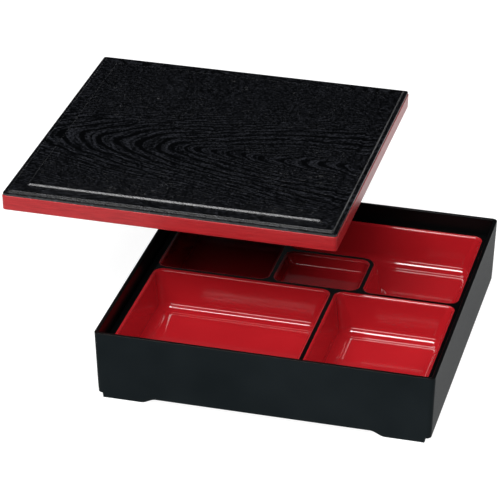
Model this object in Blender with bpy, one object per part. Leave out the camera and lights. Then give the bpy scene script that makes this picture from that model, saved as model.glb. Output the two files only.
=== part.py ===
"""Shokado-style bento lunch box: an outer box, a divider tray with five wells, and a lift-off lid.

Units are metres. z = 0 is the underside of the outer box's floor, x = y = 0 is its centre,
and the long side of the large front well lies along +X. The lid is modelled lifted off, held
above the box and to the left and back of it, with every face parallel to the closed position.
"""

import math

import bmesh
import bpy

# Outer box
BOX_SIDE = 0.270  # across the rim, outside
BOX_CORNER_RADIUS = 0.004
RIM_Z = 0.0505
SKIRT_Z = -0.0038  # lower edge of the walls, below the floor
FOOT_Z = -0.0078
WALL = 0.0032
WALL_DRAFT = math.tan(math.radians(1.84))
INNER_DRAFT = math.tan(math.radians(1.4))
INNER_CORNER_RADIUS = 0.0025
RIM_ROUND = 0.0008
FLOOR = 0.0022
FLOOR_FILLET = 0.0015
SKIRT_THICKNESS = 0.0028
FOOT_OUTER_X = 0.1284  # a foot runs along the front or back wall from here
FOOT_INNER_X = 0.0978  # to here, and then curves up into the long arch
ARCH_X = 0.0855
FOOT_END_SLOPE = 0.0005
FOOT_RETURN_THICKNESS = 0.0028
ARCH_STEPS = 8
INNER_SPREAD = 0.98  # keeps the inner walls' stations clear of their corners

# Divider tray
TRAY_TOP_Z = 0.0365
TRAY_SIDE = 0.2612
TRAY_CORNER_RADIUS = 0.0030
TRAY_PLATE = 0.0024
TRAY_LIP = 0.0080
TRAY_LIP_THICKNESS = 0.0020
TRAY_EDGE_ROUND = 0.0010
TRAY_SHELL = 0.0018
WEB = 0.0032  # between neighbouring wells
WELL_FIELD = 0.2504  # side of the square that the five wells fill
WELL_RADIUS = 0.0080
WELL_DEPTH = 0.0322
WELL_DRAFT = math.radians(11)
WELL_ROLL = 0.0024
WELL_FILLET = 0.0090
SMALL_WELL_DEPTH = 0.0110
SMALL_WELL_ROLL = 0.0024
SMALL_WELL_FILLET = 0.0030
LEAST_RADIUS = 0.0010
ROW_SPLIT_Y = 0.0053  # middle of the web between the front and back rows
FRONT_SPLIT_X = 0.0248  # middle of the web between the two front wells
SMALL_LEFT_X = -0.0297  # middles of the webs round the small well
SMALL_RIGHT_X = 0.0451
SMALL_BACK_Y = 0.0620

# Lid
LID_SIDE = 0.2775
LID_CORNER_RADIUS = 0.0030
LID_HEIGHT = 0.0129  # of the side band
LID_SIDE_TAPER = 0.0003
LID_EDGE_ROUND = 0.0006
LID_LEDGE_BEVEL = 0.0003
LID_SKIRT_THICKNESS = 0.0029
LID_OVERLAP = 0.0067  # how far the skirt hangs below the seat, outside the rim
LID_SEAT_WIDTH = 0.0042
LID_PLATE = 0.0024
LID_LEDGE_RISE = 0.0017  # of the outer ledge above the side band
LID_STEP_INSET = 0.0037  # step from the ledge up to the border
LID_STEP_RISE = 0.0018
LID_PANEL_INSET = 0.0162  # inner framed panel
LID_PANEL_RISE = 0.0013
LID_STEP_RUN = 0.0010
LID_PANEL_RUN = 0.0012
LID_FRAME_RADIUS = 0.0012
LID_REST = (-0.1033, 0.1013, 0.1073)  # centre of the lid's upper red edge, lifted off

CORNER_STEPS = 6
ROUND_STEPS = 4
SHARP_ANGLE = math.radians(34)


def clear_scene():
    for obj in list(bpy.data.objects):
        bpy.data.objects.remove(obj, do_unlink=True)


def material(name, colour, roughness):
    made = bpy.data.materials.new(name)
    made.use_nodes = True
    shader = made.node_tree.nodes["Principled BSDF"]
    shader.inputs["Base Color"].default_value = (*colour, 1)
    shader.inputs["Roughness"].default_value = roughness
    return made


def square(side, radius):
    """Corners (x, y, radius) of a rounded square about the origin, counter-clockwise."""
    half = side / 2
    return [(-half, -half, radius), (half, -half, radius), (half, half, radius), (-half, half, radius)]


def unit(a, b):
    length = math.hypot(b[0] - a[0], b[1] - a[1])
    return (b[0] - a[0]) / length, (b[1] - a[1]) / length


def outline(corners, inset=0.0, least=LEAST_RADIUS, kept=0.0):
    """Points of a right-angled outline moved inwards by inset, each corner an arc.

    An outward corner loses the inset from its radius, all but kept, and an inward corner gains
    it, so that the arcs stay concentric. A kept length above the inset makes the arc wider.
    """
    points = []
    for i, (x, y, radius) in enumerate(corners):
        before = unit(corners[i - 1], (x, y))
        after = unit((x, y), corners[(i + 1) % len(corners)])
        inward_before = (-before[1], before[0])
        inward_after = (-after[1], after[0])
        outward_corner = before[0] * after[1] - before[1] * after[0] > 0
        turn = 1 if outward_corner else -1
        change = inset - kept if outward_corner else -inset
        arc = max(radius - change, least)
        diagonal = (inward_before[0] + inward_after[0], inward_before[1] + inward_after[1])
        centre_x = x + diagonal[0] * (inset + turn * arc)
        centre_y = y + diagonal[1] * (inset + turn * arc)
        start = math.atan2(-turn * inward_before[1], -turn * inward_before[0])
        for step in range(CORNER_STEPS + 1):
            angle = start + turn * math.pi / 2 * step / CORNER_STEPS
            points.append((centre_x + arc * math.cos(angle), centre_y + arc * math.sin(angle)))
    return points


def add_ring(bm, points, z):
    """One vertex a point, at height z or at the height that z gives for a point."""
    height = z if callable(z) else lambda point: z
    return [bm.verts.new((*point, height(point))) for point in points]


def bridge(bm, lower, upper):
    count = len(lower)
    for i in range(count):
        j = (i + 1) % count
        bm.faces.new((lower[i], lower[j], upper[j], upper[i]))


def loft(bm, rings):
    for lower, upper in zip(rings, rings[1:]):
        bridge(bm, lower, upper)


def ring_edges(ring):
    edges = []
    for i, vert in enumerate(ring):
        after = ring[(i + 1) % len(ring)]
        edges.append(next(edge for edge in vert.link_edges if edge.other_vert(vert) == after))
    return edges


def fill_between(bm, outer, holes):
    edges = ring_edges(outer)
    for hole in holes:
        edges += ring_edges(hole)
    bmesh.ops.triangle_fill(bm, use_beauty=True, use_dissolve=False, edges=edges)


def finish(bm, name, mesh_material):
    """The mesh as a closed object with its faces pointing out, round surfaces shaded smooth."""
    bmesh.ops.recalc_face_normals(bm, faces=bm.faces)
    mesh = bpy.data.meshes.new(name)
    bm.to_mesh(mesh)
    bm.free()
    mesh.materials.append(mesh_material)
    mesh.shade_smooth()
    mesh.set_sharp_from_angle(angle=SHARP_ANGLE)
    obj = bpy.data.objects.new(name, mesh)
    bpy.context.scene.collection.objects.link(obj)
    return obj


def quarter(radius, steps=ROUND_STEPS):
    """(run, rise) pairs round a quarter circle, from its level end to its upright end."""
    turns = [math.pi / 2 * step / steps for step in range(steps + 1)]
    return [(radius * math.sin(turn), radius * (1 - math.cos(turn))) for turn in turns]


def foot_height(x):
    """Height of the lower edge along a front or back wall: an arch with a foot at each end."""
    across = abs(x)
    if across <= ARCH_X or across >= FOOT_OUTER_X + FOOT_END_SLOPE:
        return SKIRT_Z
    if across >= FOOT_INNER_X:
        return FOOT_Z
    part = (across - ARCH_X) / (FOOT_INNER_X - ARCH_X)
    return SKIRT_Z + (FOOT_Z - SKIRT_Z) * (1 - math.cos(math.pi * part)) / 2


def edge_stations():
    """The places along a wall where its lower edge turns, from its middle outwards."""
    span = FOOT_INNER_X - ARCH_X
    curve = [ARCH_X + span * step / ARCH_STEPS for step in range(ARCH_STEPS + 1)]
    return curve + [FOOT_OUTER_X, FOOT_OUTER_X + FOOT_END_SLOPE]


def with_stations(points, spread=1.0):
    """The outline with a point added at each station on its front and back sides."""
    stations = [x * spread for x in edge_stations()]
    along = sorted([-x for x in stations] + stations)
    full = []
    for i, (x, y) in enumerate(points):
        full.append((x, y))
        next_x, next_y = points[(i + 1) % len(points)]
        if abs(next_x - x) > BOX_SIDE / 2:
            full += [(step, y) for step in (along if next_x > x else reversed(along))]
    return full


def wall_inset(z):
    return (RIM_Z - z) * WALL_DRAFT


def box_ring(inset, kept):
    return with_stations(outline(square(BOX_SIDE, BOX_CORNER_RADIUS), inset, kept=kept))


def inner_ring(z, extra=0.0):
    inset = WALL + (RIM_Z - z) * INNER_DRAFT + extra
    side = BOX_SIDE - 2 * inset
    return with_stations(outline(square(side, INNER_CORNER_RADIUS)), INNER_SPREAD)


def lower_edge_z(point):
    on_front_or_back = abs(point[1]) > BOX_SIDE / 2 - 0.008
    return foot_height(point[0]) if on_front_or_back else SKIRT_Z


def build_box(black):
    bm = bmesh.new()
    rings = []
    outer_foot_inset = wall_inset(FOOT_Z)
    skirt_inset = outer_foot_inset + SKIRT_THICKNESS
    upper_inset = wall_inset(RIM_Z - RIM_ROUND)
    rings.append(add_ring(bm, box_ring(skirt_inset, kept=0.0), 0.0))
    rings.append(add_ring(bm, box_ring(skirt_inset, kept=0.0), lower_edge_z))
    rings.append(add_ring(bm, box_ring(outer_foot_inset, kept=outer_foot_inset), lower_edge_z))
    rings.append(add_ring(bm, box_ring(upper_inset, kept=upper_inset), RIM_Z - RIM_ROUND))
    for run, rise in reversed(quarter(RIM_ROUND, 3)[:-1]):
        inset = RIM_ROUND - run
        rings.append(add_ring(bm, box_ring(inset, kept=inset), RIM_Z - rise))
    for run, rise in quarter(RIM_ROUND, 3):
        rings.append(add_ring(bm, inner_ring(RIM_Z, run - RIM_ROUND), RIM_Z - rise))
    for run, rise in reversed(quarter(FLOOR_FILLET, 3)):
        ring = inner_ring(FLOOR, FLOOR_FILLET - run)
        rings.append(add_ring(bm, ring, FLOOR + rise))
    loft(bm, rings)
    bm.faces.new(rings[0])
    bm.faces.new(rings[-1])
    box = finish(bm, "outer_box", black)
    for side_x in (-1, 1):
        for side_y in (-1, 1):
            join(box, build_foot_return(side_x, side_y))
    return box


def build_foot_return(side_x, side_y):
    """The leg of a foot that runs back from the wall, under the floor and in from the side."""
    outer_x = FOOT_OUTER_X - 0.0001
    inner_x = outer_x - FOOT_RETURN_THICKNESS
    start_y = BOX_SIDE / 2 - wall_inset(FOOT_Z) - SKIRT_THICKNESS / 2
    profile = [(start_y, 0.001), (start_y, FOOT_Z)]
    span = FOOT_INNER_X - ARCH_X
    for step in range(ARCH_STEPS + 1):
        y = FOOT_INNER_X - span * step / ARCH_STEPS
        part = step / ARCH_STEPS
        profile.append((y, FOOT_Z - FOOT_Z * (1 - math.cos(math.pi * part)) / 2))
    profile.append((ARCH_X, 0.001))
    bm = bmesh.new()
    ends = []
    for x in (inner_x, outer_x):
        ends.append([bm.verts.new((side_x * x, side_y * y, z)) for y, z in profile])
    bridge(bm, ends[0], ends[1])
    for end in ends:
        bm.faces.new(end)
    bmesh.ops.recalc_face_normals(bm, faces=bm.faces)
    mesh = bpy.data.meshes.new("foot_return")
    bm.to_mesh(mesh)
    bm.free()
    obj = bpy.data.objects.new("foot_return", mesh)
    bpy.context.scene.collection.objects.link(obj)
    obj.hide_render = True
    obj.display_type = "WIRE"
    return obj


def join(target, tool):
    """Adds the tool's shape to the target and leaves the tool as a hidden helper."""
    union = target.modifiers.new("join_" + tool.name, "BOOLEAN")
    union.operation = "UNION"
    union.solver = "EXACT"
    union.object = tool


def well_outlines():
    """Name, corners and kind of each of the five wells, worked out from the web lines."""
    low = -WELL_FIELD / 2
    high = WELL_FIELD / 2
    half = WEB / 2
    front_top = ROW_SPLIT_Y - half
    back_low = ROW_SPLIT_Y + half
    r = WELL_RADIUS
    inner = r + WEB
    wells = {}
    wells["front_left"] = box_corners(low, low, FRONT_SPLIT_X - half, front_top, r)
    wells["front_right"] = box_corners(FRONT_SPLIT_X + half, low, high, front_top, r)
    wells["back_left"] = box_corners(low, back_low, SMALL_LEFT_X - half, high, r)
    wells["small"] = box_corners(SMALL_LEFT_X + half, back_low, SMALL_RIGHT_X - half, SMALL_BACK_Y - half, r)
    wells["back_right"] = [
        (SMALL_RIGHT_X + half, back_low, r),
        (high, back_low, r),
        (high, high, r),
        (SMALL_LEFT_X + half, high, r),
        (SMALL_LEFT_X + half, SMALL_BACK_Y + half, r),
        (SMALL_RIGHT_X + half, SMALL_BACK_Y + half, inner),
    ]
    return wells


def box_corners(x0, y0, x1, y1, radius):
    return [(x0, y0, radius), (x1, y0, radius), (x1, y1, radius), (x0, y1, radius)]


def well_sizes(name):
    """(depth, roll, fillet) of a well."""
    if name == "small":
        return SMALL_WELL_DEPTH, SMALL_WELL_ROLL, SMALL_WELL_FILLET
    return WELL_DEPTH, WELL_ROLL, WELL_FILLET


def fillet_centre(depth, roll, fillet):
    """Inset of the centre line of a well's floor fillet, which is tangent to the drafted wall."""
    rounds = roll + fillet
    fall = depth - rounds * (1 - math.sin(WELL_DRAFT))
    return rounds * math.cos(WELL_DRAFT) + fall * math.tan(WELL_DRAFT)


def draft_arc(radius):
    """(run, height) along a round that turns from level to the slope of a well's wall."""
    points = []
    for step in range(ROUND_STEPS + 1):
        angle = math.pi / 2 - (math.pi / 2 - WELL_DRAFT) * step / ROUND_STEPS
        points.append((radius * math.cos(angle), radius * (1 - math.sin(angle))))
    return points


def kept_radius(roll, fillet, centre):
    """How far a well's corners keep their radius, so that they meet the fillet ball-like."""
    foot_radius = max(fillet + LEAST_RADIUS, WELL_RADIUS - roll)
    return centre - fillet * math.cos(WELL_DRAFT) + foot_radius - WELL_RADIUS


def well_hollow(bm, name, corners):
    """Rings down the inside of a well: rolled edge, drafted wall, fillet, floor."""
    depth, roll, fillet = well_sizes(name)
    centre = fillet_centre(depth, roll, fillet)
    kept = kept_radius(roll, fillet, centre)
    rings = []
    for run, drop in draft_arc(roll):
        rings.append(add_ring(bm, outline(corners, run), TRAY_TOP_Z - drop))
    for run, rise in reversed(draft_arc(fillet)):
        rings.append(add_ring(bm, outline(corners, centre - run, kept=kept), TRAY_TOP_Z - depth + rise))
    loft(bm, rings)
    bm.faces.new(rings[-1])
    return rings[0]


def well_shell(bm, name, corners):
    """Rings down the outside of a well, one shell thickness out from the hollow."""
    depth, roll, fillet = well_sizes(name)
    centre = fillet_centre(depth, roll, fillet)
    kept = kept_radius(roll, fillet, centre)
    bottom_z = TRAY_TOP_Z - depth - TRAY_SHELL
    roll_end = roll * (1 - math.sin(WELL_DRAFT))
    top_inset = roll * math.cos(WELL_DRAFT) + (TRAY_PLATE - roll_end) * math.tan(WELL_DRAFT)
    top_inset -= TRAY_SHELL / math.cos(WELL_DRAFT)
    rings = [add_ring(bm, outline(corners, top_inset), TRAY_TOP_Z - TRAY_PLATE)]
    for run, rise in reversed(draft_arc(fillet + TRAY_SHELL)):
        rings.append(add_ring(bm, outline(corners, centre - run, kept=kept), bottom_z + rise))
    loft(bm, rings)
    bm.faces.new(rings[-1])
    return rings[0]


def build_tray(red):
    bm = bmesh.new()
    wells = well_outlines()
    corners = square(TRAY_SIDE, TRAY_CORNER_RADIUS)
    lip_z = TRAY_TOP_Z - TRAY_LIP
    rings = []
    for run, drop in quarter(TRAY_EDGE_ROUND, 3):
        rings.append(add_ring(bm, outline(corners, TRAY_EDGE_ROUND - run), TRAY_TOP_Z - drop))
    rings.append(add_ring(bm, outline(corners), lip_z))
    rings.append(add_ring(bm, outline(corners, TRAY_LIP_THICKNESS), lip_z))
    rings.append(add_ring(bm, outline(corners, TRAY_LIP_THICKNESS), TRAY_TOP_Z - TRAY_PLATE))
    loft(bm, rings)
    hollows = [well_hollow(bm, name, shape) for name, shape in wells.items()]
    shells = [well_shell(bm, name, shape) for name, shape in wells.items()]
    fill_between(bm, rings[0], hollows)
    fill_between(bm, rings[-1], shells)
    return finish(bm, "divider_tray", red)


def build_lid(black):
    """Rings from the middle of the underside out round the skirt and in over the top."""
    bm = bmesh.new()
    corners = square(LID_SIDE, LID_CORNER_RADIUS)
    skirt_z = -LID_HEIGHT
    seat_z = skirt_z + LID_OVERLAP
    border_z = LID_LEDGE_RISE + LID_STEP_RISE
    panel_z = border_z + LID_PANEL_RISE
    side_inset = LID_SIDE_TAPER
    skirt_inner = side_inset + LID_SKIRT_THICKNESS
    seat_inner = skirt_inner + LID_SEAT_WIDTH
    hollow_inset = LID_PANEL_INSET + LID_PLATE
    r = LID_FRAME_RADIUS
    stations = [
        (hollow_inset, panel_z - LID_PLATE),
        (hollow_inset, border_z - LID_PLATE),
        (seat_inner, border_z - LID_PLATE),
        (seat_inner, seat_z),
        (skirt_inner, seat_z),
        (skirt_inner, skirt_z + LID_EDGE_ROUND),
        (skirt_inner - LID_EDGE_ROUND, skirt_z),
        (side_inset + LID_EDGE_ROUND, skirt_z),
        (side_inset, skirt_z + LID_EDGE_ROUND),
        (0.0, -LID_EDGE_ROUND),
        (LID_EDGE_ROUND / 3, -LID_EDGE_ROUND / 3),
        (LID_EDGE_ROUND, 0.0),
        (LID_EDGE_ROUND, LID_LEDGE_RISE - LID_LEDGE_BEVEL),
        (LID_EDGE_ROUND + LID_LEDGE_BEVEL, LID_LEDGE_RISE),
        (LID_STEP_INSET, LID_LEDGE_RISE),
        (LID_STEP_INSET + LID_STEP_RUN, border_z),
        (LID_PANEL_INSET, border_z),
        (LID_PANEL_INSET + LID_PANEL_RUN, panel_z),
    ]
    rings = [add_ring(bm, outline(corners, inset, least=r), z) for inset, z in stations]
    loft(bm, rings)
    bm.faces.new(rings[0])
    bm.faces.new(rings[-1])
    lid = finish(bm, "lid", black)
    lid.location = LID_REST
    return lid


def main():
    clear_scene()
    black = material("black_lacquer", (0.012, 0.013, 0.014), 0.35)
    red = material("red_lacquer", (0.52, 0.015, 0.022), 0.15)
    grain = material("black_wood_grain", (0.012, 0.013, 0.015), 0.4)
    build_box(black)
    build_tray(red)
    build_lid(grain)


main()
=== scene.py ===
"""Looks of the bento lunch box: finer meshes, lacquer and wood-grain materials, studio and camera.

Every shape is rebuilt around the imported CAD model's own boxes, in its frame, in metres. The
outer box, the divider tray and the lid each stand for the CAD node of that name.
"""

import math

import bmesh
import bpy
import numpy as np
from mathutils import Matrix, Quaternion, Vector

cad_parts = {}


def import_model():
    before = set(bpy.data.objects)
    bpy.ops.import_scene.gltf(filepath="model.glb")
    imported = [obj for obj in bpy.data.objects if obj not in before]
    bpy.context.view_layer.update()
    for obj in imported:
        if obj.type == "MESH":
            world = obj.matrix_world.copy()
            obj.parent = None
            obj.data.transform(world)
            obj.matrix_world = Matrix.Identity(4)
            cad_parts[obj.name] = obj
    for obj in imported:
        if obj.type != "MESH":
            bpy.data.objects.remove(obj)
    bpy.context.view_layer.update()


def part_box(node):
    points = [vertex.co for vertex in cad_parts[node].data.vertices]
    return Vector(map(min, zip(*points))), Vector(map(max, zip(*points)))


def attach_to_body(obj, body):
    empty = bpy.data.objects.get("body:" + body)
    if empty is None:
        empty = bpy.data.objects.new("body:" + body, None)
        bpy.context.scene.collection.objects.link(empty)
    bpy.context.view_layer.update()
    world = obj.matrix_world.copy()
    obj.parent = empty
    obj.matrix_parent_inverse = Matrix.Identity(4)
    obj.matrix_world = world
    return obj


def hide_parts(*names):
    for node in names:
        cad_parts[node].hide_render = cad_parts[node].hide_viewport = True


MM = 0.001

# Camera: the view direction and the point that the lens looks at
CAMERA_AZIMUTH = 14.52
CAMERA_ELEVATION = 28.40
CAMERA_ROLL = 0.32
CAMERA_TARGET = (-0.0497, 0.0198, 0.0547)
CAMERA_DISTANCE = 2.212
LENS = 195.15
SENSOR_WIDTH = 36

# Outer box
BOX_CORNER_RADIUS = 0.004
SKIRT_Z = -0.0038
WALL = 0.0032
WALL_DRAFT = math.tan(math.radians(1.84))  # lean of the outside, as a slope
INNER_DRAFT = math.tan(math.radians(1.4))
INNER_CORNER_RADIUS = 0.0025
RIM_ROUND = 0.0008
FLOOR_TOP = 0.0022
FLOOR_FILLET = 0.0015
SKIRT_THICKNESS = 0.0028
FOOT_OUTER_X = 0.1284  # ends of a foot's sole along the front wall
FOOT_INNER_X = 0.0978
ARCH_X = 0.0855  # where the curve from the foot meets the level part of the arch
FOOT_END_SLOPE = 0.0005
FOOT_RETURN_THICKNESS = 0.0028
ARCH_STEPS = 16
WALL_BAND = 0.008  # points nearer to the front or back than this follow the arch
INNER_STATION_SCALE = 0.98
WALL_STEPS = 6
UNION_CLEARANCE = 0.0001  # keeps a foot's return from sharing a face with the foot's end
UNION_OVERLAP = 0.001  # how far the return reaches up into the floor
INSIDE_SLOT = 1

# Divider tray
TRAY_CORNER_RADIUS = 0.0030
TRAY_PLATE = 0.0024
TRAY_LIP_THICKNESS = 0.0020
TRAY_EDGE_ROUND = 0.0010
TRAY_LIP = 0.0080
TRAY_SHELL = 0.0018
WEB = 0.0032
WELL_FIELD = 0.2504
WELL_RADIUS = 0.0080
WELL_DEPTH = 0.0322
WELL_DRAFT = math.radians(11)  # an angle, since the rounds need its sine and cosine too
WELL_ROLL = 0.0024
WELL_FILLET = 0.0090
SMALL_WELL_DEPTH = 0.0110
SMALL_WELL_ROLL = 0.0024
SMALL_WELL_FILLET = 0.0030
LEAST_RADIUS = 0.0010
ROW_SPLIT_Y = 0.0053
FRONT_SPLIT_X = 0.0248
SMALL_LEFT_X = -0.0297
SMALL_RIGHT_X = 0.0451
SMALL_BACK_Y = 0.0620
RED_SLOT = 1

# Lid, from the upper edge of its red side band
LID_CORNER_RADIUS = 0.0030
LID_LEAST_RADIUS = 0.0006
LID_HEIGHT = 0.0129
LID_SIDE_TAPER = 0.0003
LID_EDGE_ROUND = 0.0006
LID_SKIRT_THICKNESS = 0.0029
LID_OVERLAP = 0.0067
LID_SEAT_WIDTH = 0.0042
LID_PLATE = 0.0024
LID_LEDGE_RISE = 0.0017
LID_LEDGE_BEVEL = 0.0003
LID_STEP_INSET = 0.0037
LID_STEP_RISE = 0.0018
LID_PANEL_INSET = 0.0162
LID_PANEL_RISE = 0.0013
LID_STEP_RUN = 0.0010
LID_PANEL_RUN = 0.0015
LID_COLUMNS = 200  # cells of the panel's grid along X
LID_ROWS = 330  # and along Y, across the grain
LID_BORDER_STEPS = 9
LID_STEP_ROUND = 0.0003  # at the foot and the top of each step
LID_SHARP_DEGREES = 40
TOP_SLOT = 0
SIDE_SLOT = 1
UNDER_SLOT = 2

# Moulded wood grain on the lid: depth and fades in metres, the pattern in mm from the lid's middle
GRAIN_DEPTH = 0.00030
GRAIN_STEP_FADE = (0.0009, 0.0022)  # distances from the panel's step where relief starts and is full
GRAIN_EDGE_FADE = 0.0020
GRAIN_AXIS_Y = -26.0  # the arches lie about this line
GRAIN_OUTER_SPREAD = 28.0  # width of the outer arches: y squared per mm along X
GRAIN_INNER_SPREAD = 5.0  # and of the inner ones
GRAIN_CHANGE_X = -34.0  # apex position where one turns into the other
GRAIN_CHANGE_RUN = 12.0
GRAIN_PITCH = 15.0  # from one growth ring to the next, on average
GRAIN_UNEVENNESS = 0.5  # of the rings' spacing, in rings
GRAIN_UNEVEN_RUN = 37.0
GRAIN_APEX_RANGE = (-1200.0, 400.0)  # where the apexes are searched for
GRAIN_HALVINGS = 26
GRAIN_DIRECTIONS = 8

# Fineness of the box and the tray
CORNER_STEPS = 12  # in each corner's arc
ROUND_STEPS = 8  # in each rounded edge

# Studio
FLOOR_SIDE = 24.0
LIGHT_TARGET = (0, 0, 0.04)
WORLD_COLOUR = (0.010, 0.0105, 0.0115, 1)
# Name, azimuth and elevation in degrees, distance, width and height in metres, watts, and
# whether gloss mirrors the light
SOFTBOXES = [
    ("softbox_main", -24, 68, 2.0, 1.4, 0.46, 27, True),
    ("softbox_front", -17, 33, 2.3, 1.5, 0.20, 5, True),
    ("softbox_back", 180, 60, 1.9, 2.2, 0.12, 4, True),
    ("fill_front", -28, 50, 2.0, 1.7, 0.8, 17, False),
    ("fill_left", -42, 50, 2.2, 0.8, 0.5, 14, False),
    ("fill_right", 34, 46, 2.0, 1.2, 0.6, 17, False),
]


# ---------------------------------------------------------------- shapes


def square(side, radius):
    """Corners (x, y, radius) of a rounded square about the origin, counter-clockwise."""
    half = side / 2
    return [(-half, -half, radius), (half, -half, radius), (half, half, radius), (-half, half, radius)]


def box_corners(x0, y0, x1, y1, radius):
    """Corners (x, y, radius) of a rounded rectangle, counter-clockwise."""
    return [(x0, y0, radius), (x1, y0, radius), (x1, y1, radius), (x0, y1, radius)]


def unit(a, b):
    """Direction from a to b."""
    length = math.hypot(b[0] - a[0], b[1] - a[1])
    return (b[0] - a[0]) / length, (b[1] - a[1]) / length


def outline(corners, inset=0.0, kept=0.0):
    """Points of a right-angled outline moved inwards by inset, each corner an arc.

    An outward corner's radius shrinks by the inset less the part that is kept.
    """
    points = []
    for i, (x, y, radius) in enumerate(corners):
        before = unit(corners[i - 1], (x, y))
        after = unit((x, y), corners[(i + 1) % len(corners)])
        inward_before = (-before[1], before[0])
        inward_after = (-after[1], after[0])
        outward_corner = before[0] * after[1] - before[1] * after[0] > 0
        turn = 1 if outward_corner else -1
        change = inset - kept if outward_corner else -inset
        arc = max(radius - change, LEAST_RADIUS)
        diagonal = (inward_before[0] + inward_after[0], inward_before[1] + inward_after[1])
        centre_x = x + diagonal[0] * (inset + turn * arc)
        centre_y = y + diagonal[1] * (inset + turn * arc)
        start = math.atan2(-turn * inward_before[1], -turn * inward_before[0])
        for step in range(CORNER_STEPS + 1):
            angle = start + turn * math.pi / 2 * step / CORNER_STEPS
            points.append((centre_x + arc * math.cos(angle), centre_y + arc * math.sin(angle)))
    return points


def add_ring(bm, points, z):
    """Adds a vertex at each point; z is one height or a function that gives each point's height."""
    height = z if callable(z) else lambda point: z
    return [bm.verts.new((*point, height(point))) for point in points]


def bridge(bm, lower, upper, slot=0):
    """Adds the strip of faces between two rings of equal length."""
    count = len(lower)
    for i in range(count):
        j = (i + 1) % count
        face = bm.faces.new((lower[i], lower[j], upper[j], upper[i]))
        face.material_index = slot


def loft(bm, rings, slot=0):
    """Joins each ring to the next."""
    for lower, upper in zip(rings, rings[1:]):
        bridge(bm, lower, upper, slot)


def cap(bm, ring, slot=0):
    face = bm.faces.new(ring)
    face.material_index = slot


def ring_edges(ring):
    """The edges that already join each vertex of a ring to the next."""
    edges = []
    for i, vert in enumerate(ring):
        after = ring[(i + 1) % len(ring)]
        edges.append(next(edge for edge in vert.link_edges if edge.other_vert(vert) == after))
    return edges


def fill_between(bm, outer, holes):
    """Fills the level area inside the outer ring and outside the holes."""
    edges = ring_edges(outer)
    for hole in holes:
        edges += ring_edges(hole)
    bmesh.ops.triangle_fill(bm, use_beauty=True, use_dissolve=False, edges=edges)


def quarter(radius):
    """(run, rise) pairs round a quarter circle, from its level end to its upright end."""
    turns = [math.pi / 2 * step / ROUND_STEPS for step in range(ROUND_STEPS + 1)]
    return [(radius * math.sin(turn), radius * (1 - math.cos(turn))) for turn in turns]


def add_object(name, mesh, materials, sharp_degrees=34):
    """Adds the mesh to the scene, shaded smooth except along edges sharper than that."""
    for material in materials:
        mesh.materials.append(material)
    mesh.shade_smooth()
    mesh.set_sharp_from_angle(angle=math.radians(sharp_degrees))
    obj = bpy.data.objects.new(name, mesh)
    bpy.context.scene.collection.objects.link(obj)
    return obj


def weigh_normals(obj):
    """Keeps flat faces shading flat up to where a rounded edge starts."""
    weighted = obj.modifiers.new("weighted_normals", "WEIGHTED_NORMAL")
    weighted.mode = "FACE_AREA"
    weighted.weight = 50
    weighted.keep_sharp = True


def finish_mesh(bm, name):
    """Turns the built shape into a mesh whose faces all look outwards."""
    bmesh.ops.recalc_face_normals(bm, faces=bm.faces)
    mesh = bpy.data.meshes.new(name)
    bm.to_mesh(mesh)
    bm.free()
    return mesh


# ---------------------------------------------------------------- outer box


def foot_height(x, foot_z):
    """Height of the lower edge along a front or back wall: an arch with a foot at each end."""
    across = abs(x)
    if across <= ARCH_X or across >= FOOT_OUTER_X + FOOT_END_SLOPE:
        return SKIRT_Z
    if across >= FOOT_INNER_X:
        return foot_z
    part = (across - ARCH_X) / (FOOT_INNER_X - ARCH_X)
    return SKIRT_Z + (foot_z - SKIRT_Z) * (1 - math.cos(math.pi * part)) / 2


def edge_stations():
    """The places along a wall where its lower edge turns, from its middle outwards."""
    span = FOOT_INNER_X - ARCH_X
    curve = [ARCH_X + span * step / ARCH_STEPS for step in range(ARCH_STEPS + 1)]
    return curve + [FOOT_OUTER_X, FOOT_OUTER_X + FOOT_END_SLOPE]


def with_stations(points, scale=1.0):
    """The outline with a point added at each station, times scale, on its front and back sides."""
    stations = [x * scale for x in edge_stations()]
    along = sorted([-x for x in stations] + stations)
    full = []
    for i, (x, y) in enumerate(points):
        full.append((x, y))
        next_x, next_y = points[(i + 1) % len(points)]
        if abs(next_x - x) > FOOT_OUTER_X:
            full += [(step, y) for step in (along if next_x > x else reversed(along))]
    return full


def box_outer_ring(side, inset, kept):
    """The box's outside moved inwards; its corners lose inset less kept from their radius."""
    return with_stations(outline(square(side, BOX_CORNER_RADIUS), inset, kept=kept))


def box_inner_ring(side, drop, extra):
    """The box's inside at a drop below the rim, moved inwards by extra."""
    inset = WALL + drop * INNER_DRAFT + extra
    return with_stations(outline(square(side - 2 * inset, INNER_CORNER_RADIUS)), INNER_STATION_SCALE)


def box_skirt(bm, side, rim_z, foot_z):
    """The skirt, from the floor's underside down its inside and across its lower edge."""

    def lower_edge_z(point):
        on_front_or_back = abs(point[1]) > side / 2 - WALL_BAND
        return foot_height(point[0], foot_z) if on_front_or_back else SKIRT_Z

    foot_inset = (rim_z - foot_z) * WALL_DRAFT
    inside = box_outer_ring(side, foot_inset + SKIRT_THICKNESS, 0.0)
    rings = [add_ring(bm, inside, 0.0)]
    rings.append(add_ring(bm, inside, lower_edge_z))
    rings.append(add_ring(bm, box_outer_ring(side, foot_inset, foot_inset), lower_edge_z))
    loft(bm, rings)
    return rings


def box_walls(bm, side, rim_z, foot_ring):
    """The outside of the walls, from their lower edge to the round of the rim."""
    rings = [foot_ring]
    for step in range(1, WALL_STEPS + 1):
        z = SKIRT_Z + (rim_z - RIM_ROUND - SKIRT_Z) * step / WALL_STEPS
        inset = (rim_z - z) * WALL_DRAFT
        rings.append(add_ring(bm, box_outer_ring(side, inset, inset), z))
    loft(bm, rings)
    return rings[-1]


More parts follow.
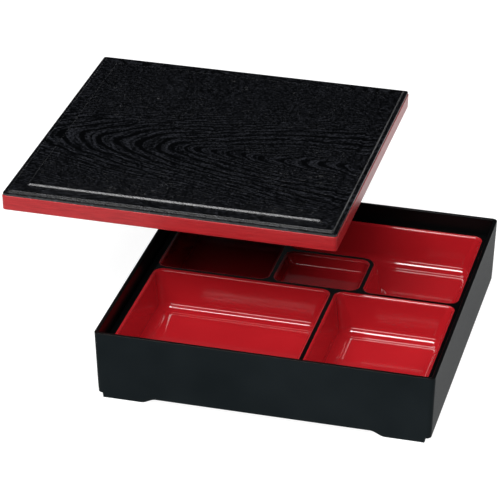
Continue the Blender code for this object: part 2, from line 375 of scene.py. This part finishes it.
def box_rim(bm, side, rim_z, wall_ring):
    """The rounded top of the walls, in the inside's finish."""
    rings = [wall_ring]
    for run, rise in reversed(quarter(RIM_ROUND)[:-1]):
        inset = RIM_ROUND - run
        rings.append(add_ring(bm, box_outer_ring(side, inset, inset), rim_z - rise))
    for run, rise in quarter(RIM_ROUND):
        rings.append(add_ring(bm, box_inner_ring(side, 0.0, run - RIM_ROUND), rim_z - rise))
    loft(bm, rings, slot=INSIDE_SLOT)
    return rings[-1]


def box_hollow(bm, side, rim_z, rim_ring):
    """The inside of the walls and the fillet at their foot."""
    rings = [rim_ring]
    for run, rise in reversed(quarter(FLOOR_FILLET)):
        ring = box_inner_ring(side, rim_z - FLOOR_TOP, FLOOR_FILLET - run)
        rings.append(add_ring(bm, ring, FLOOR_TOP + rise))
    loft(bm, rings, slot=INSIDE_SLOT)
    return rings[-1]


def build_box(outside, inside):
    low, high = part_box("outer_box")
    side = high.x - low.x
    rim_z = high.z
    foot_z = low.z
    bm = bmesh.new()
    skirt = box_skirt(bm, side, rim_z, foot_z)
    wall_top = box_walls(bm, side, rim_z, skirt[-1])
    rim_inside = box_rim(bm, side, rim_z, wall_top)
    floor = box_hollow(bm, side, rim_z, rim_inside)
    cap(bm, skirt[0])
    cap(bm, floor, slot=INSIDE_SLOT)
    obj = add_object("outer_box_shell", finish_mesh(bm, "outer_box_shell"), [outside, inside])
    wall_y = side / 2 - (rim_z - foot_z) * WALL_DRAFT
    for side_x in (-1, 1):
        for side_y in (-1, 1):
            join_foot_return(obj, side_x, side_y, wall_y, foot_z)
    return obj


def return_profile(wall_y, foot_z):
    """(y, z) outline of a foot's return: its sole, then a curve up to the underside of the floor."""
    start_y = wall_y - SKIRT_THICKNESS / 2
    profile = [(start_y, UNION_OVERLAP), (start_y, foot_z)]
    for step in range(ARCH_STEPS + 1):
        part = step / ARCH_STEPS
        y = FOOT_INNER_X - (FOOT_INNER_X - ARCH_X) * part
        profile.append((y, foot_z - foot_z * (1 - math.cos(math.pi * part)) / 2))
    profile.append((ARCH_X, UNION_OVERLAP))
    return profile


def join_foot_return(target, side_x, side_y, wall_y, foot_z):
    """Adds the leg of a foot that runs back from the front or back wall, under the floor."""
    outer_x = FOOT_OUTER_X - UNION_CLEARANCE
    inner_x = outer_x - FOOT_RETURN_THICKNESS
    profile = return_profile(wall_y, foot_z)
    bm = bmesh.new()
    ends = []
    for x in (inner_x, outer_x):
        ends.append([bm.verts.new((side_x * x, side_y * y, z)) for y, z in profile])
    bridge(bm, ends[0], ends[1])
    for end in ends:
        cap(bm, end)
    unite(target, finish_mesh(bm, "foot_return"))


def unite(target, mesh):
    """Makes one solid of the target and the mesh."""
    helper = bpy.data.objects.new(mesh.name, mesh)
    bpy.context.scene.collection.objects.link(helper)
    union = target.modifiers.new("union", "BOOLEAN")
    union.operation = "UNION"
    union.solver = "EXACT"
    union.object = helper
    graph = bpy.context.evaluated_depsgraph_get()
    joined = bpy.data.meshes.new_from_object(target.evaluated_get(graph))
    target.modifiers.remove(union)
    target.data = joined
    bpy.data.objects.remove(helper)


# ---------------------------------------------------------------- divider tray


def well_outlines():
    """Corners of each of the five wells, worked out from the web lines."""
    low = -WELL_FIELD / 2
    high = WELL_FIELD / 2
    half = WEB / 2
    front_top = ROW_SPLIT_Y - half
    back_low = ROW_SPLIT_Y + half
    small_low = SMALL_LEFT_X + half
    small_high = SMALL_RIGHT_X - half
    r = WELL_RADIUS
    wells = {}
    wells["front_left"] = box_corners(low, low, FRONT_SPLIT_X - half, front_top, r)
    wells["front_right"] = box_corners(FRONT_SPLIT_X + half, low, high, front_top, r)
    wells["back_left"] = box_corners(low, back_low, SMALL_LEFT_X - half, high, r)
    wells["small"] = box_corners(small_low, back_low, small_high, SMALL_BACK_Y - half, r)
    wells["back_right"] = [
        (SMALL_RIGHT_X + half, back_low, r),
        (high, back_low, r),
        (high, high, r),
        (small_low, high, r),
        (small_low, SMALL_BACK_Y + half, r),
        (SMALL_RIGHT_X + half, SMALL_BACK_Y + half, r + WEB),
    ]
    return wells


def well_sizes(name):
    """(depth, roll, fillet) of a well."""
    if name == "small":
        return SMALL_WELL_DEPTH, SMALL_WELL_ROLL, SMALL_WELL_FILLET
    return WELL_DEPTH, WELL_ROLL, WELL_FILLET


def fillet_centre(depth, roll, fillet):
    """Inset of the centre line of a well's floor fillet, which is tangent to the drafted wall."""
    rounds = roll + fillet
    fall = depth - rounds * (1 - math.sin(WELL_DRAFT))
    return rounds * math.cos(WELL_DRAFT) + fall * math.tan(WELL_DRAFT)


def draft_arc(radius):
    """(run, height) along a round that turns from level to the slope of a well's wall."""
    points = []
    for step in range(ROUND_STEPS + 1):
        angle = math.pi / 2 - (math.pi / 2 - WELL_DRAFT) * step / ROUND_STEPS
        points.append((radius * math.cos(angle), radius * (1 - math.sin(angle))))
    return points


def kept_radius(roll, fillet, centre):
    """How much of the inset a well's corners keep, to stay rounder than the fillet they end in."""
    foot_radius = max(fillet + LEAST_RADIUS, WELL_RADIUS - roll)
    return centre - fillet * math.cos(WELL_DRAFT) + foot_radius - WELL_RADIUS


def well_hollow(bm, name, corners, top_z):
    """Rings down the inside of a well: rolled edge, drafted wall, fillet, floor."""
    depth, roll, fillet = well_sizes(name)
    centre = fillet_centre(depth, roll, fillet)
    kept = kept_radius(roll, fillet, centre)
    rings = []
    for run, drop in draft_arc(roll):
        rings.append(add_ring(bm, outline(corners, run), top_z - drop))
    for run, rise in reversed(draft_arc(fillet)):
        rings.append(add_ring(bm, outline(corners, centre - run, kept=kept), top_z - depth + rise))
    loft(bm, rings, slot=RED_SLOT)
    cap(bm, rings[-1], slot=RED_SLOT)
    return rings[0]


def well_shell(bm, name, corners, top_z):
    """Rings down the outside of a well, one shell thickness out from the hollow."""
    depth, roll, fillet = well_sizes(name)
    centre = fillet_centre(depth, roll, fillet)
    kept = kept_radius(roll, fillet, centre)
    bottom_z = top_z - depth - TRAY_SHELL
    roll_end = roll * (1 - math.sin(WELL_DRAFT))
    top_inset = roll * math.cos(WELL_DRAFT) + (TRAY_PLATE - roll_end) * math.tan(WELL_DRAFT)
    top_inset -= TRAY_SHELL / math.cos(WELL_DRAFT)
    rings = [add_ring(bm, outline(corners, top_inset), top_z - TRAY_PLATE)]
    for run, rise in reversed(draft_arc(fillet + TRAY_SHELL)):
        rings.append(add_ring(bm, outline(corners, centre - run, kept=kept), bottom_z + rise))
    loft(bm, rings)
    cap(bm, rings[-1])
    return rings[0]


def build_tray(web, red):
    low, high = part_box("divider_tray")
    top_z = high.z
    corners = square(high.x - low.x, TRAY_CORNER_RADIUS)
    bm = bmesh.new()
    rings = []
    for run, drop in quarter(TRAY_EDGE_ROUND):
        rings.append(add_ring(bm, outline(corners, TRAY_EDGE_ROUND - run), top_z - drop))
    rings.append(add_ring(bm, outline(corners), top_z - TRAY_LIP))
    rings.append(add_ring(bm, outline(corners, TRAY_LIP_THICKNESS), top_z - TRAY_LIP))
    rings.append(add_ring(bm, outline(corners, TRAY_LIP_THICKNESS), top_z - TRAY_PLATE))
    loft(bm, rings)
    shapes = well_outlines()
    hollows = [well_hollow(bm, name, shape, top_z) for name, shape in shapes.items()]
    shells = [well_shell(bm, name, shape, top_z) for name, shape in shapes.items()]
    fill_between(bm, rings[0], hollows)
    fill_between(bm, rings[-1], shells)
    return add_object("divider_tray_moulding", finish_mesh(bm, "divider_tray_moulding"), [web, red])


# ---------------------------------------------------------------- lid


def smoothstep(low, high, value):
    """0 up to low, 1 from high on, and a smooth rise between them."""
    part = np.clip((value - low) / (high - low), 0, 1)
    return part * part * (3 - 2 * part)


class Noise:
    """Smooth repeatable noise between 0 and 1 over the plane."""

    SIZE = 256

    def __init__(self, seed):
        self.table = np.random.default_rng(seed).random((self.SIZE, self.SIZE))

    def __call__(self, x, y):
        x0 = np.floor(x).astype(int)
        y0 = np.floor(y).astype(int)
        fx = smoothstep(0, 1, x - x0)
        fy = smoothstep(0, 1, y - y0)
        near = self.at(x0, y0) * (1 - fy) + self.at(x0, y0 + 1) * fy
        far = self.at(x0 + 1, y0) * (1 - fy) + self.at(x0 + 1, y0 + 1) * fy
        return near * (1 - fx) + far * fx

    def at(self, column, row):
        return self.table[column % self.SIZE, row % self.SIZE]


def wobble(noise, x, y, height, length_x, length_y, shift=0):
    """A smooth wave of that height whose bumps are about length_x by length_y."""
    return height * (noise(x / length_x + shift, y / length_y) - 0.5)


def arch_place(x, y):
    """Apex position, in mm, of the grain arch that passes through each point.

    An arch with its apex at a is the parabola x = a + (y - axis)^2 / spread(a). The apex is found
    by halving, because the spread narrows steadily from the outer arches to the inner ones.
    """
    across = (y - GRAIN_AXIS_Y) ** 2
    low = np.full(x.shape, GRAIN_APEX_RANGE[0])
    high = np.full(x.shape, GRAIN_APEX_RANGE[1])
    for _ in range(GRAIN_HALVINGS):
        middle = (low + high) / 2
        outer_share = 1 / (1 + np.exp((middle - GRAIN_CHANGE_X) / GRAIN_CHANGE_RUN))
        spread = GRAIN_INNER_SPREAD + (GRAIN_OUTER_SPREAD - GRAIN_INNER_SPREAD) * outer_share
        beyond = middle + across / spread > x
        high = np.where(beyond, middle, high)
        low = np.where(beyond, low, middle)
    return (low + high) / 2


def grain_fields(x, y):
    """(depth, arch, ring) of the moulded wood grain, from the lid's middle, in mm.

    depth is 0 on the surface and 1 in the deepest pore, arch counts the growth rings, and ring is
    1 along the dark line of each, and less where the line is broken.
    """
    warp = Noise(3)
    bent_x = x + wobble(warp, x, y, height=9, length_x=40, length_y=24)
    bent_x += wobble(warp, x, y, height=3, length_x=11, length_y=9, shift=50)
    bent_y = y + wobble(warp, x, y, height=7, length_x=60, length_y=26, shift=90)
    bent_y += wobble(warp, x, y, height=1.6, length_x=16, length_y=8, shift=20)
    apex = arch_place(bent_x, bent_y)
    count = apex / GRAIN_PITCH + GRAIN_UNEVENNESS * np.sin(apex / GRAIN_UNEVEN_RUN)
    part = count - np.floor(count)
    line = smoothstep(0.60, 0.80, part) * (1 - smoothstep(0.93, 1.0, part))
    along_x, along_y = tangent_of(bent_x, bent_y)
    long_pores = oriented(x, y, along_x, along_y, length=7.0, width=0.95, noise=Noise(11))
    short_pores = oriented(x, y, along_x, along_y, length=3.6, width=0.75, noise=Noise(12))
    patches = Noise(5)(x / 26, y / 10)
    ring = line * (0.35 + 0.65 * smoothstep(0.30, 0.50, long_pores))
    depth = np.maximum(ring, (0.3 + 0.6 * patches) * smoothstep(0.55, 0.70, short_pores))
    depth = np.maximum(depth, 0.6 * smoothstep(0.58, 0.72, long_pores))
    return np.clip(depth, 0, 1), count, ring


def tangent_of(x, y):
    """Direction of the grain at each point, at right angles to the change of the arch place."""
    step = 0.5
    rise_x = arch_place(x + step, y) - arch_place(x - step, y)
    rise_y = arch_place(x, y + step) - arch_place(x, y - step)
    length = np.hypot(rise_x, rise_y) + 1e-9
    return -rise_y / length, rise_x / length


def oriented(x, y, along_x, along_y, length, width, noise):
    """Noise drawn out along the grain: a blend of fields, each stretched in its own direction."""
    total = np.zeros(x.shape)
    weights = np.zeros(x.shape)
    for i in range(GRAIN_DIRECTIONS):
        angle = math.pi * i / GRAIN_DIRECTIONS
        cos = math.cos(angle)
        sin = math.sin(angle)
        match = (along_x * cos + along_y * sin) ** 2
        weight = smoothstep(0.78, 1.0, match) + 1e-6
        along = (x * cos + y * sin) / length
        over = (y * cos - x * sin) / width
        total += weight * noise(along + 31 * i, over + 17 * i)
        weights += weight
    return total / weights


def rounded_square(half, radius):
    """Points round a square from its front left corner, those near a corner moved onto its arc."""
    across = np.linspace(-1, 1, LID_COLUMNS + 1)[:-1] * half
    up = np.linspace(-1, 1, LID_ROWS + 1)[:-1] * half
    sides = [
        np.stack([across, np.full(LID_COLUMNS, -half)], 1),
        np.stack([np.full(LID_ROWS, half), up], 1),
        np.stack([-across, np.full(LID_COLUMNS, half)], 1),
        np.stack([np.full(LID_ROWS, -half), -up], 1),
    ]
    points = np.concatenate(sides)
    centre = np.sign(points) * (half - radius)
    out = points - centre
    in_corner = np.abs(points).min(axis=1) > half - radius
    length = np.hypot(out[:, 0], out[:, 1])[:, None]
    arc = centre + out / np.maximum(length, 1e-12) * radius
    return np.where(in_corner[:, None], arc, points)


def rounded_step(upper_inset, upper_z, lower_inset, lower_z):
    """(inset, height) pairs down a sloping step, with its foot and top edge slightly rounded."""
    length = math.hypot(upper_inset - lower_inset, upper_z - lower_z)
    run = (upper_inset - lower_inset) / length * LID_STEP_ROUND
    rise = (upper_z - lower_z) / length * LID_STEP_ROUND
    return [
        (upper_inset + LID_STEP_ROUND, upper_z),
        (upper_inset + run / 4, upper_z - rise / 4),
        (upper_inset - run, upper_z - rise),
        (lower_inset + run, lower_z + rise),
        (lower_inset - run / 4, lower_z + rise / 4),
        (lower_inset - LID_STEP_ROUND, lower_z),
    ]


def lid_top_stations():
    """(inset, height) of each ring of the black top, from the panel's edge outwards."""
    border_z = LID_LEDGE_RISE + LID_STEP_RISE
    panel_z = border_z + LID_PANEL_RISE
    stations = rounded_step(LID_PANEL_INSET + LID_PANEL_RUN, panel_z, LID_PANEL_INSET, border_z)
    start = LID_PANEL_INSET - LID_STEP_ROUND
    run = start - LID_STEP_INSET - LID_STEP_RUN - LID_STEP_ROUND
    for step in range(1, LID_BORDER_STEPS):
        stations.append((start - run * step / LID_BORDER_STEPS, border_z))
    stations += rounded_step(LID_STEP_INSET + LID_STEP_RUN, border_z, LID_STEP_INSET, LID_LEDGE_RISE)
    mid_bevel = LID_LEDGE_BEVEL * 0.3
    stations.append((LID_EDGE_ROUND + LID_LEDGE_BEVEL, LID_LEDGE_RISE))
    stations.append((LID_EDGE_ROUND + mid_bevel, LID_LEDGE_RISE - mid_bevel))
    stations.append((LID_EDGE_ROUND, LID_LEDGE_RISE - LID_LEDGE_BEVEL))
    stations.append((LID_EDGE_ROUND, 0.0))
    return stations


def lid_side_stations():
    """(inset, height) of each ring of the red side, down to the skirt's lower edge."""
    rounding = LID_EDGE_ROUND
    skirt_z = -LID_HEIGHT
    return [
        (rounding / 3, -rounding / 3),
        (0.0, -rounding),
        (LID_SIDE_TAPER, skirt_z + rounding),
        (LID_SIDE_TAPER + rounding, skirt_z),
        (LID_SIDE_TAPER + LID_SKIRT_THICKNESS - rounding, skirt_z),
    ]


def lid_under_stations():
    """(inset, height) of each ring of the plain underside, up inside the skirt and inwards."""
    skirt_z = -LID_HEIGHT
    skirt_inner = LID_SIDE_TAPER + LID_SKIRT_THICKNESS
    seat_inner = skirt_inner + LID_SEAT_WIDTH
    seat_z = skirt_z + LID_OVERLAP
    hollow_inset = LID_PANEL_INSET + LID_PLATE
    border_z = LID_LEDGE_RISE + LID_STEP_RISE - LID_PLATE
    panel_z = LID_LEDGE_RISE + LID_STEP_RISE + LID_PANEL_RISE - LID_PLATE
    return [
        (skirt_inner, skirt_z + LID_EDGE_ROUND),
        (skirt_inner, seat_z),
        (seat_inner, seat_z),
        (seat_inner, border_z),
        (hollow_inset, border_z),
        (hollow_inset, panel_z),
    ]


def lid_surface(half, stations):
    """Points, the panel's grid of point numbers, and the point numbers of each ring round it."""
    panel_half = half - stations[0][0]
    xs = np.linspace(-panel_half, panel_half, LID_COLUMNS + 1)
    ys = np.linspace(-panel_half, panel_half, LID_ROWS + 1)
    grid_x, grid_y = np.meshgrid(xs, ys)
    grid = np.arange(grid_x.size).reshape(grid_x.shape)
    points = [np.stack([grid_x.ravel(), grid_y.ravel(), np.full(grid_x.size, stations[0][1])], 1)]
    rings = [np.concatenate([grid[0, :-1], grid[:-1, -1], grid[-1, :0:-1], grid[:0:-1, 0]])]
    count = grid_x.size
    for inset, z in stations[1:]:
        radius = max(LID_CORNER_RADIUS - inset, LID_LEAST_RADIUS)
        ring = rounded_square(half - inset, radius)
        points.append(np.column_stack([ring, np.full(len(ring), z)]))
        rings.append(np.arange(count, count + len(ring)))
        count += len(ring)
    return np.concatenate(points), grid, rings


def lid_faces(grid, rings, ring_slots):
    """Faces of the panel's grid and of each strip between rings, and the slot of each face."""
    faces = [quads(grid[:-1, :-1], grid[:-1, 1:], grid[1:, 1:], grid[1:, :-1])]
    slots = [np.full(len(faces[0]), TOP_SLOT)]
    for inner, outer, slot in zip(rings, rings[1:], ring_slots):
        faces.append(quads(inner, outer, np.roll(outer, -1), np.roll(inner, -1)))
        slots.append(np.full(len(inner), slot))
    polygons = np.concatenate(faces).tolist() + [rings[-1].tolist()]
    return polygons, np.append(np.concatenate(slots), UNDER_SLOT)


def build_lid(top_black, red, under_black):
    low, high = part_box("lid")
    centre = (low + high) / 2
    half = (high.x - low.x) / 2
    top = lid_top_stations()
    side = lid_side_stations()
    under = lid_under_stations()
    ring_slots = [TOP_SLOT] * (len(top) - 1) + [SIDE_SLOT] * len(side) + [UNDER_SLOT] * len(under)
    points, grid, rings = lid_surface(half, top + side + under)
    polygons, slots = lid_faces(grid, rings, ring_slots)
    depth, arch, ring = grain_fields(points[:, 0] / MM, points[:, 1] / MM)
    points[:, 2] -= GRAIN_DEPTH * depth * relief_share(points, half)
    points += np.array([centre.x, centre.y, low.z + LID_HEIGHT])
    mesh = bpy.data.meshes.new("lid_moulding")
    mesh.from_pydata(points.tolist(), [], polygons)
    mesh.polygons.foreach_set("material_index", slots.astype(np.int32))
    store(mesh, "grain_arch", arch)
    store(mesh, "grain_ring", ring)
    bm = bmesh.new()
    bm.from_mesh(mesh)
    bmesh.ops.recalc_face_normals(bm, faces=bm.faces)
    bm.to_mesh(mesh)
    bm.free()
    return add_object("lid_moulding", mesh, [top_black, red, under_black], LID_SHARP_DEGREES)


def relief_share(points, half):
    """How much of the grain's relief shows at each point: none on the steps, sides and underside."""
    inset = half - np.maximum(np.abs(points[:, 0]), np.abs(points[:, 1]))
    on_top = points[:, 2] > LID_LEDGE_RISE + LID_STEP_RISE - 0.1 * MM
    from_step = np.abs(inset - (LID_PANEL_INSET + LID_PANEL_RUN / 2))
    beside_step = smoothstep(*GRAIN_STEP_FADE, from_step)
    edge = LID_STEP_INSET + LID_STEP_RUN
    return on_top * beside_step * smoothstep(edge, edge + GRAIN_EDGE_FADE, inset)


def quads(a, b, c, d):
    """Four-cornered faces, one for each place in the four arrays of point numbers."""
    return np.stack([a.ravel(), b.ravel(), c.ravel(), d.ravel()], 1)


def store(mesh, name, values):
    """Gives the mesh a number at each point, which a shader reads by name."""
    attribute = mesh.attributes.new(name, "FLOAT", "POINT")
    attribute.data.foreach_set("value", values.astype(np.float32))


# ---------------------------------------------------------------- materials


class Shader:
    """A material under construction: its nodes and the links between them."""

    def __init__(self, name):
        self.material = bpy.data.materials.new(name)
        self.material.use_nodes = True
        self.tree = self.material.node_tree
        self.surface = self.tree.nodes["Principled BSDF"]

    def node(self, kind, **settings):
        made = self.tree.nodes.new(kind)
        for key, value in settings.items():
            setattr(made, key, value)
        return made

    def link(self, source, target):
        self.tree.links.new(source, target)

    def set(self, **values):
        """Sets inputs of the surface, with _ for each space in an input's name."""
        for key, value in values.items():
            self.surface.inputs[key.replace("_", " ")].default_value = value

    def coordinates(self, scale=(1, 1, 1)):
        """Object coordinates times scale, which shortens a pattern where it is more than 1."""
        where = self.node("ShaderNodeTexCoord")
        mapping = self.node("ShaderNodeMapping")
        mapping.inputs["Scale"].default_value = scale
        self.link(where.outputs["Object"], mapping.inputs["Vector"])
        return mapping.outputs["Vector"]

    def noise(self, vector, scale, detail=3.0, roughness=0.55):
        """Noise from 0 to 1 that varies over about one part in scale of a metre."""
        made = self.node("ShaderNodeTexNoise")
        made.inputs["Scale"].default_value = scale
        made.inputs["Detail"].default_value = detail
        made.inputs["Roughness"].default_value = roughness
        self.link(vector, made.inputs["Vector"])
        return made.outputs["Fac"]

    def ramp(self, value, stops):
        """Colour that runs between two (value, colour) stops."""
        made = self.node("ShaderNodeValToRGB")
        for element, (position, colour) in zip(made.color_ramp.elements, stops):
            element.position = position
            element.color = (*colour, 1)
        self.link(value, made.inputs["Fac"])
        return made.outputs["Color"]

    def spread(self, value, low, high, clamp=True):
        """Maps 0 to low and 1 to high, and goes no further unless clamp is off."""
        made = self.node("ShaderNodeMapRange", clamp=clamp)
        made.inputs["To Min"].default_value = low
        made.inputs["To Max"].default_value = high
        self.link(value, made.inputs["Value"])
        return made.outputs["Result"]

    def times(self, value, factor):
        made = self.node("ShaderNodeMath", operation="MULTIPLY")
        self.link(value, made.inputs[0])
        self.link(factor, made.inputs[1])
        return made.outputs["Value"]

    def pair(self, x, y):
        made = self.node("ShaderNodeCombineXYZ")
        self.link(x, made.inputs["X"])
        self.link(y, made.inputs["Y"])
        return made.outputs["Vector"]

    def along_x(self, scale):
        """The X object coordinate times scale."""
        split = self.node("ShaderNodeSeparateXYZ")
        self.link(self.coordinates((scale, 1, 1)), split.inputs["Vector"])
        return split.outputs["X"]

    def attribute(self, name):
        return self.node("ShaderNodeAttribute", attribute_name=name).outputs["Fac"]

    def bump(self, height, distance, strength, after=None):
        made = self.node("ShaderNodeBump")
        made.inputs["Distance"].default_value = distance
        made.inputs["Strength"].default_value = strength
        self.link(height, made.inputs["Height"])
        if after:
            self.link(after, made.inputs["Normal"])
        return made.outputs["Normal"]

    def wear(self, colour, rough, normal):
        """Gives the surface its colour, roughness and bump, and returns the finished material."""
        self.link(colour, self.surface.inputs["Base Color"])
        self.link(rough, self.surface.inputs["Roughness"])
        self.link(normal, self.surface.inputs["Normal"])
        return self.material


def clouded(name, colours, cloud_scale, rough, wave_scale, wave_height, wave_strength, **surface):
    """A lacquer whose colour and roughness drift in soft clouds, over a faintly wavy surface."""
    shader = Shader(name)
    shader.set(**surface)
    where = shader.coordinates()
    cloud = shader.noise(where, cloud_scale)
    waves = shader.noise(where, wave_scale, detail=2.0)
    colour = shader.ramp(cloud, [(0.3, colours[0]), (0.7, colours[1])])
    normal = shader.bump(waves, wave_height, wave_strength)
    return shader.wear(colour, shader.spread(cloud, *rough), normal)


def textured_black():
    """Outside of the box: satin black with a fine pebbled, cloth-like grain."""
    shader = Shader("black_lacquer_textured")
    shader.set(IOR=1.07)
    where = shader.coordinates()
    pebble = shader.noise(where, 900, detail=2.0, roughness=0.6)
    weave = shader.noise(shader.coordinates((1, 1, 2.2)), 420, detail=2.0)
    cloud = shader.noise(where, 18, detail=2.0)
    colour = shader.ramp(cloud, [(0.3, (0.0050, 0.0072, 0.0083)), (0.7, (0.0080, 0.0108, 0.0122))])
    rough = shader.spread(weave, 0.34, 0.46)
    normal = shader.bump(weave, 0.00012, 0.5)
    return shader.wear(colour, rough, shader.bump(pebble, 0.00008, 0.5, after=normal))


def smooth_black():
    """Rim and inside of the box: satin black."""
    return clouded(
        "black_lacquer_smooth",
        colours=((0.0008, 0.0009, 0.0010), (0.0014, 0.0015, 0.0017)),
        cloud_scale=30,
        rough=(0.30, 0.42),
        wave_scale=120,
        wave_height=0.00003,
        wave_strength=0.3,
        IOR=1.5,
        Specular_IOR_Level=0.15,
    )


def web_black():
    """Flat top, lip and underside of the tray: gloss black."""
    return clouded(
        "black_lacquer_web",
        colours=((0.0008, 0.0009, 0.0010), (0.0015, 0.0016, 0.0018)),
        cloud_scale=40,
        rough=(0.08, 0.14),
        wave_scale=150,
        wave_height=0.00002,
        wave_strength=0.25,
        IOR=1.5,
    )


def well_red():
    """Wells: glossy vermilion under a clear coat, with a slight orange peel."""
    return clouded(
        "red_lacquer",
        colours=((0.30, 0.0070, 0.0108), (0.34, 0.0090, 0.0132)),
        cloud_scale=14,
        rough=(0.08, 0.12),
        wave_scale=90,
        wave_height=0.00004,
        wave_strength=0.2,
        IOR=1.5,
        Coat_Weight=0.8,
        Coat_Roughness=0.07,
        Coat_IOR=1.6,
    )


def under_black():
    """Underside of the lid: plain satin black."""
    return clouded(
        "black_lacquer_under",
        colours=((0.004, 0.004, 0.005), (0.007, 0.007, 0.008)),
        cloud_scale=25,
        rough=(0.28, 0.36),
        wave_scale=200,
        wave_height=0.00004,
        wave_strength=0.4,
        IOR=1.5,
        Specular_IOR_Level=0.12,
    )


def side_red():
    """Side band of the lid: red lacquer over faint wood grain that runs along each side."""
    shader = Shader("red_lacquer_grained")
    shader.set(IOR=1.5, Specular_IOR_Level=0.3)
    grain = shader.noise(shader.coordinates((1, 1, 14)), 60, detail=4.0, roughness=0.6)
    fine = shader.noise(shader.coordinates((1, 1, 9)), 190, roughness=0.6)
    colour = shader.ramp(grain, [(0.35, (0.26, 0.005, 0.008)), (0.62, (0.34, 0.011, 0.014))])
    rough = shader.spread(fine, 0.22, 0.38)
    normal = shader.bump(grain, 0.00025, 0.5)
    return shader.wear(colour, rough, shader.bump(fine, 0.0001, 0.4, after=normal))


def grain_black():
    """Top of the lid: near-black, with dark grey specks that thin out along each growth ring."""
    shader = Shader("black_wood_grain")
    shader.set(IOR=1.5)
    across_rings = shader.spread(shader.attribute("grain_arch"), 0.0, 5.0, clamp=False)
    lines = shader.noise(shader.pair(across_rings, shader.along_x(70.0)), 1.0, roughness=0.65)
    pores = shader.noise(shader.coordinates((1, 6, 1)), 160, roughness=0.6)
    speckle = shader.noise(shader.coordinates((1, 2, 1)), 420, detail=2.0, roughness=0.6)
    between_rings = shader.spread(shader.attribute("grain_ring"), 1.0, 0.35)
    pale = shader.times(shader.times(lines, speckle), between_rings)
    colour = shader.ramp(pale, [(0.22, (0.0001, 0.0002, 0.0004)), (0.34, (0.017, 0.018, 0.022))])
    rough = shader.spread(lines, 0.14, 0.26)
    normal = shader.bump(lines, 0.00030, 0.4)
    return shader.wear(colour, rough, shader.bump(pores, 0.00015, 0.4, after=normal))


# ---------------------------------------------------------------- studio


def floor_white():
    """The floor gives off most of its own light, so that it stays pale under faint shadows."""
    shader = Shader("studio_white")
    shader.set(Emission_Color=(1, 1, 1, 1), Emission_Strength=0.95)
    cloud = shader.noise(shader.coordinates(), 3, detail=2.0)
    colour = shader.ramp(cloud, [(0.0, (0.18, 0.18, 0.18)), (1.0, (0.22, 0.22, 0.22))])
    rough = shader.spread(cloud, 0.75, 0.85)
    return shader.wear(colour, rough, shader.bump(cloud, 0.0001, 0.1))


def build_floor(z):
    bm = bmesh.new()
    bm.faces.new([bm.verts.new((x, y, z)) for x, y, _ in square(FLOOR_SIDE, 0.0)])
    floor = add_object("studio_floor", finish_mesh(bm, "studio_floor"), [floor_white()])


def view_direction(azimuth, elevation):
    """From the object towards a place at that azimuth, from -Y towards +X, and elevation."""
    turn = math.radians(azimuth)
    rise = math.radians(elevation)
    return Vector((math.sin(turn) * math.cos(rise), -math.cos(turn) * math.cos(rise), math.sin(rise)))


def add_softbox(name, azimuth, elevation, distance, width, height, power, mirrored):
    """An area light aimed at the box. One that isn't mirrored lights it without showing in gloss."""
    light = bpy.data.lights.new(name, "AREA")
    light.shape = "RECTANGLE"
    light.size = width
    light.size_y = height
    light.energy = power
    obj = bpy.data.objects.new(name, light)
    away = view_direction(azimuth, elevation)
    obj.location = Vector(LIGHT_TARGET) + away * distance
    obj.visible_glossy = mirrored
    obj.rotation_mode = "QUATERNION"
    obj.rotation_quaternion = (-away).to_track_quat("-Z", "Y")
    bpy.context.scene.collection.objects.link(obj)


def build_lights():
    for softbox in SOFTBOXES:
        add_softbox(*softbox)
    world = bpy.data.worlds.new("studio")
    world.use_nodes = True
    world.node_tree.nodes["Background"].inputs["Color"].default_value = WORLD_COLOUR
    bpy.context.scene.world = world


def build_camera():
    data = bpy.data.cameras.new("camera")
    data.sensor_width = SENSOR_WIDTH
    data.lens = LENS
    data.clip_start = 0.1
    data.clip_end = 50
    camera = bpy.data.objects.new("camera", data)
    away = view_direction(CAMERA_AZIMUTH, CAMERA_ELEVATION)
    camera.location = Vector(CAMERA_TARGET) + away * CAMERA_DISTANCE
    camera.rotation_mode = "QUATERNION"
    roll = Quaternion(away, math.radians(CAMERA_ROLL))
    camera.rotation_quaternion = roll @ (-away).to_track_quat("-Z", "Y")
    bpy.context.scene.collection.objects.link(camera)
    bpy.context.scene.camera = camera


def attach(piece, body, node):
    """Makes the piece move with the body and stand for the CAD node."""
    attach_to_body(piece, body)
    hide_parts(node)


def main():
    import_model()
    bpy.context.scene.view_settings.view_transform = "Standard"
    box = build_box(textured_black(), smooth_black())
    tray = build_tray(web_black(), well_red())
    lid = build_lid(grain_black(), side_red(), under_black())
    for piece in (box, tray, lid):
        weigh_normals(piece)
    attach(box, "box", "outer_box")
    attach(tray, "tray", "divider_tray")
    attach(lid, "lid", "lid")
    build_floor(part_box("outer_box")[0].z)
    build_lights()
    build_camera()


main()
